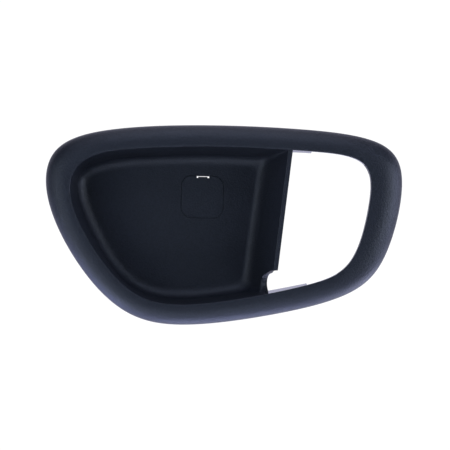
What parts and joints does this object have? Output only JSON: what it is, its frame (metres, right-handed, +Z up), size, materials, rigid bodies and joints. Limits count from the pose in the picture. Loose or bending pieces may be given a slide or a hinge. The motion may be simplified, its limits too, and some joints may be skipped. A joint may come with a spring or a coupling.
{
  "type": "door handle trim cover",
  "caption": "Moulded surround for a car's inside door handle, with a finger cup, a lever opening and a snap-in cap over its fixing screw.",
  "frame": {"origin": "middle of the fixing screw's hole, on the seat of its head at the bottom of the pocket", "axes": "front faces -Y, +X towards the lever opening, +Z up as fitted to the door"},
  "size_m": [0.1655, 0.0355, 0.0927],
  "materials": {
    "cover": "bluish black moulded PP, fine even grain",
    "cap": "bluish black moulded PP, fine even grain"
  },
  "bodies": {
    "cover": {"trim_cover": "cover"},
    "cap": {"screw_cap": "cap"}
  },
  "joints": [
    {"name": "cap_hinge", "type": "hinge", "parent": "cover", "child": "cap", "pos_m": [-0.00024, -0.007, -0.00995], "axis": [0.9997, 0, -0.0244], "range_deg": [0, 90]}
  ]
}
